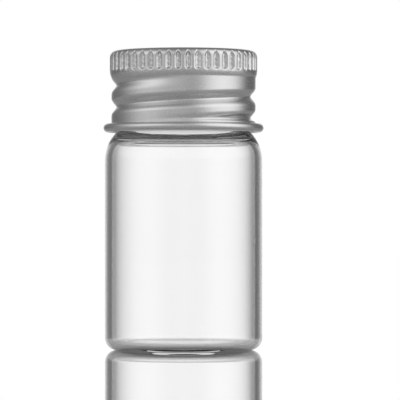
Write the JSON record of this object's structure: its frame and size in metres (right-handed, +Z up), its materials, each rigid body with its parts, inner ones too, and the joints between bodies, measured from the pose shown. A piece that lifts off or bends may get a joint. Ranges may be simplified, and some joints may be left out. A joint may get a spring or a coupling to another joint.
{
  "type": "sample vial",
  "caption": "Small clear-glass tubular vial with a knurled, roll-threaded aluminium screw cap, a curled cap rim and a foam liner.",
  "frame": {"origin": "centre of the base, on the plane of the foot ring that the vial stands on", "axes": "+Z up along the vial's axis; the thread on the neck starts on the +X side and rises anticlockwise"},
  "size_m": [0.0224, 0.0224, 0.0417],
  "materials": {
    "glass": "clear polished glass",
    "aluminium": "satin",
    "foam": "matt closed-cell foam"
  },
  "bodies": {
    "vial": {"glass_vial": "glass"},
    "liner": {"cap_liner": "foam"},
    "cap": {"cap_shell": "aluminium"}
  },
  "joints": [
    {"name": "cap_lift", "type": "slide", "parent": "vial", "child": "liner", "axis": [0, 0, 1], "range_m": [0, 0.0121]},
    {"name": "cap_turn", "type": "hinge", "parent": "liner", "child": "cap", "pos_m": [0, 0, 0.036], "axis": [0, 0, 1], "range_deg": [0, 1440]}
  ],
  "couplings": [
    {"joint": "cap_lift", "follows": "cap_turn", "m_per_rad": 0.00047746}
  ]
}
